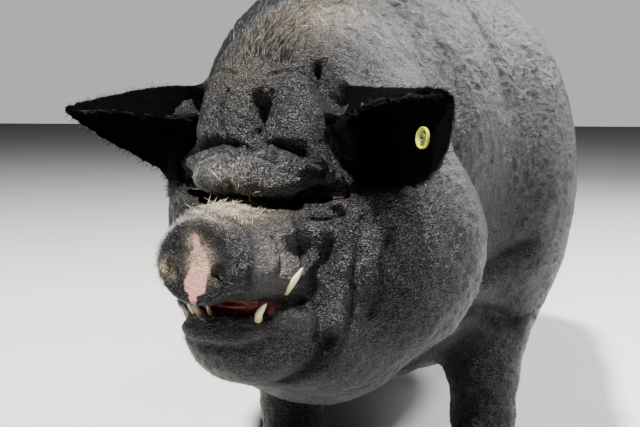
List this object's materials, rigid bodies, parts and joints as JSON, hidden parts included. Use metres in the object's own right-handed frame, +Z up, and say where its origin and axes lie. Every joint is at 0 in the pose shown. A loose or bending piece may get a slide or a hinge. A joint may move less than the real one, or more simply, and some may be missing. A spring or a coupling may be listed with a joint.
{
  "type": "pig",
  "caption": "Life-size model of a heavy black pot-bellied pig standing with its head turned, tusks showing, ears out to the sides and a plain round tag in one ear.",
  "frame": {"origin": "on the floor at the middle of the footprint of its bounding box", "axes": "+Z up, the pig faces -Y, its left side is +X"},
  "size_m": [0.5394, 1.3019, 0.6812],
  "materials": {
    "hide": "thick wrinkled black skin with short pale bristles",
    "nose": "damp bare skin, black with a pink patch",
    "eye": "wet and glossy",
    "tongue": "wet",
    "tusk": "worn cream ivory",
    "tooth": "stained enamel",
    "horn": "dull dark hoof horn",
    "tag": "satin yellow-green moulded plastic"
  },
  "bodies": {
    "root": {"dewclaw_fore_left_inner": "horn", "dewclaw_fore_left_outer": "horn", "dewclaw_fore_right_inner": "horn", "dewclaw_fore_right_outer": "horn", "dewclaw_hind_left_inner": "horn", "dewclaw_hind_left_outer": "horn", "dewclaw_hind_right_inner": "horn", "dewclaw_hind_right_outer": "horn", "ear_left": "hide", "ear_right": "hide", "ear_tag": "tag", "eye_left": "eye", "eye_right": "eye", "foreleg_left": "hide", "foreleg_right": "hide", "head": "hide", "hindleg_left": "hide", "hindleg_right": "hide", "hoof_fore_left_inner": "horn", "hoof_fore_left_outer": "horn", "hoof_fore_right_inner": "horn", "hoof_fore_right_outer": "horn", "hoof_hind_left_inner": "horn", "hoof_hind_left_outer": "horn", "hoof_hind_right_inner": "horn", "hoof_hind_right_outer": "horn", "incisor_left": "tooth", "incisor_right": "tooth", "lower_jaw": "hide", "neck": "hide", "nose": "nose", "tail": "hide", "tongue": "tongue", "trunk": "hide", "tusk_lower_left": "tusk", "tusk_lower_right": "tusk", "tusk_upper_left": "tusk", "tusk_upper_right": "tusk"}
  },
  "joints": []
}
